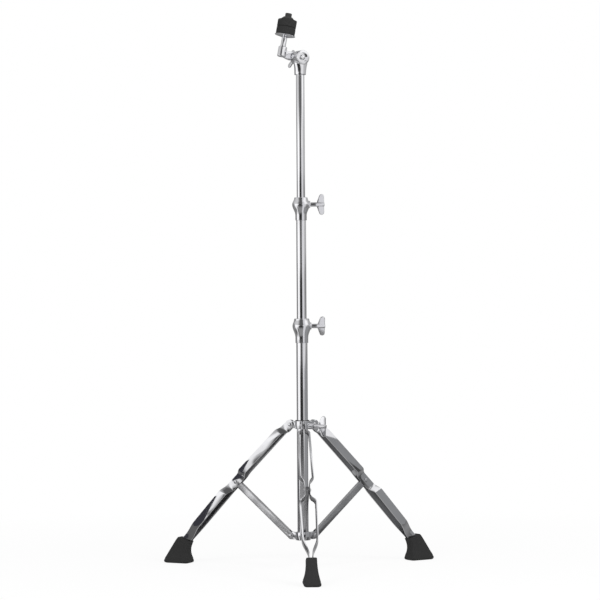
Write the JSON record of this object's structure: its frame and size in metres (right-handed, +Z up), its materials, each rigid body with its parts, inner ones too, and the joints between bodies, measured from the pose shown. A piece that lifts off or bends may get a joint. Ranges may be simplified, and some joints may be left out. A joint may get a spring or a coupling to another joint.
{
  "type": "cymbal stand",
  "caption": "Straight three-section cymbal stand with a folding double-strip tripod, wing-bolt height clamps, a toothed tilter and a felt-padded cymbal seat.",
  "frame": {"origin": "on the floor, at the centre of the rectangle that the three feet cover; the mast's axis stands 82.05 mm from it along +Y", "axes": "+Z up along the mast, front leg towards -Y, clamp wing bolts towards +X"},
  "size_m": [0.6306, 0.548, 1.2622],
  "materials": {
    "chrome": "bright plated",
    "steel": "drawn spring wire",
    "rubber": "matt moulded",
    "nylon": "satin moulded",
    "felt": "pressed wool felt"
  },
  "bodies": {
    "base": {"base_tube": "chrome", "base_tube_plug": "rubber", "lower_leg_collar": "chrome", "base_clamp": "chrome"},
    "base_wing_bolt": {"base_clamp_wing_bolt": "chrome"},
    "base_bush": {"base_clamp_bush": "nylon"},
    "middle": {"middle_tube": "chrome", "middle_clamp": "chrome"},
    "middle_wing_bolt": {"middle_clamp_wing_bolt": "chrome"},
    "middle_bush": {"middle_clamp_bush": "nylon"},
    "upper": {"upper_tube": "chrome", "tilter_base": "chrome", "tilter_bolt": "chrome", "tilter_spring": "steel"},
    "wing_nut": {"tilter_wing_nut": "chrome"},
    "arm": {"tilter_arm": "chrome", "cymbal_rod": "chrome", "cup_washer": "chrome", "rod_sleeve": "nylon", "lower_felt": "felt", "upper_felt": "felt"},
    "seat_nut": {"cymbal_nut": "nylon"},
    "collar": {"upper_leg_collar": "chrome", "collar_bush": "nylon"},
    "collar_bolt": {"collar_wing_bolt": "chrome"},
    "brace_front": {"front_brace": "chrome", "front_lower_rivet": "chrome"},
    "leg_front": {"front_leg_left_strip": "chrome", "front_leg_right_strip": "chrome", "front_top_left_rivet": "chrome", "front_top_right_rivet": "chrome", "front_knee_rivet": "chrome", "front_foot_rivet": "chrome", "front_foot": "rubber"},
    "brace_right": {"right_brace": "chrome", "right_lower_rivet": "chrome"},
    "leg_right": {"right_leg_left_strip": "chrome", "right_leg_right_strip": "chrome", "right_top_left_rivet": "chrome", "right_top_right_rivet": "chrome", "right_knee_rivet": "chrome", "right_foot_rivet": "chrome", "right_foot": "rubber"},
    "brace_left": {"left_brace": "chrome", "left_lower_rivet": "chrome"},
    "leg_left": {"left_leg_left_strip": "chrome", "left_leg_right_strip": "chrome", "left_top_left_rivet": "chrome", "left_top_right_rivet": "chrome", "left_knee_rivet": "chrome", "left_foot_rivet": "chrome", "left_foot": "rubber"}
  },
  "joints": [
    {"name": "fold", "type": "hinge", "parent": "base", "child": "brace_front", "pos_m": [0, 0.05206, 0.07473], "axis": [-1, 0, 0], "range_deg": [0, 43.24]},
    {"name": "right_brace_fold", "type": "hinge", "parent": "base", "child": "brace_right", "pos_m": [0.02598, 0.09706, 0.07473], "axis": [0.5, -0.866, 0], "range_deg": [0, 43.24]},
    {"name": "left_brace_fold", "type": "hinge", "parent": "base", "child": "brace_left", "pos_m": [-0.02598, 0.09706, 0.07473], "axis": [0.5, 0.866, 0], "range_deg": [0, 43.24]},
    {"name": "front_knee", "type": "hinge", "parent": "brace_front", "child": "leg_front", "pos_m": [0, -0.08792, 0.19323], "axis": [1, 0, 0], "range_deg": [0, 83.25]},
    {"name": "right_knee", "type": "hinge", "parent": "brace_right", "child": "leg_right", "pos_m": [0.1472, 0.16704, 0.19323], "axis": [-0.5, 0.866, 0], "range_deg": [0, 83.25]},
    {"name": "left_knee", "type": "hinge", "parent": "brace_left", "child": "leg_left", "pos_m": [-0.1472, 0.16704, 0.19323], "axis": [-0.5, -0.866, 0], "range_deg": [0, 83.25]},
    {"name": "collar_slide", "type": "slide", "parent": "base", "child": "collar", "axis": [0, 0, 1], "range_m": [0, 0.1223]},
    {"name": "collar_bolt_turn", "type": "hinge", "parent": "collar", "child": "collar_bolt", "pos_m": [0, 0.08206, 0.3247], "axis": [0.866, -0.5, 0], "range_deg": [0, 360]},
    {"name": "base_bolt_turn", "type": "hinge", "parent": "base", "child": "base_wing_bolt", "pos_m": [0, 0.08206, 0.55168], "axis": [1, 0, 0], "range_deg": [0, 360]},
    {"name": "middle_swivel", "type": "hinge", "parent": "base", "child": "base_bush", "pos_m": [0, 0.08206, 0.55], "axis": [0, 0, 1], "continuous": true},
    {"name": "middle_slide", "type": "slide", "parent": "base_bush", "child": "middle", "axis": [0, 0, 1], "range_m": [-0.215, 0.08]},
    {"name": "middle_bolt_turn", "type": "hinge", "parent": "middle", "child": "middle_wing_bolt", "pos_m": [0, 0.08206, 0.82761], "axis": [1, 0, 0], "range_deg": [0, 360]},
    {"name": "upper_swivel", "type": "hinge", "parent": "middle", "child": "middle_bush", "pos_m": [0, 0.08206, 0.83], "axis": [0, 0, 1], "continuous": true},
    {"name": "upper_slide", "type": "slide", "parent": "middle_bush", "child": "upper", "axis": [0, 0, 1], "range_m": [-0.26, 0.06]},
    {"name": "tilt", "type": "hinge", "parent": "upper", "child": "arm", "pos_m": [0, 0.08206, 1.16043], "axis": [0.4503, -0.8929, 0], "range_deg": [-78, 61]},
    {"name": "tilter_nut_turn", "type": "hinge", "parent": "upper", "child": "wing_nut", "pos_m": [0, 0.08206, 1.16043], "axis": [0.4503, -0.8929, 0], "range_deg": [0, 360]},
    {"name": "seat_nut_turn", "type": "hinge", "parent": "arm", "child": "seat_nut", "pos_m": [-0.04172, 0.07888, 1.16844], "axis": [0.1811, 0.0913, 0.9792], "range_deg": [0, 360]}
  ],
  "couplings": [
    {"joint": "right_brace_fold", "follows": "fold", "ratio": 1},
    {"joint": "left_brace_fold", "follows": "fold", "ratio": 1},
    {"joint": "front_knee", "follows": "fold", "ratio": 1.9251},
    {"joint": "right_knee", "follows": "fold", "ratio": 1.9251},
    {"joint": "left_knee", "follows": "fold", "ratio": 1.9251},
    {"joint": "collar_slide", "follows": "fold", "m_per_rad": 0.16197}
  ]
}
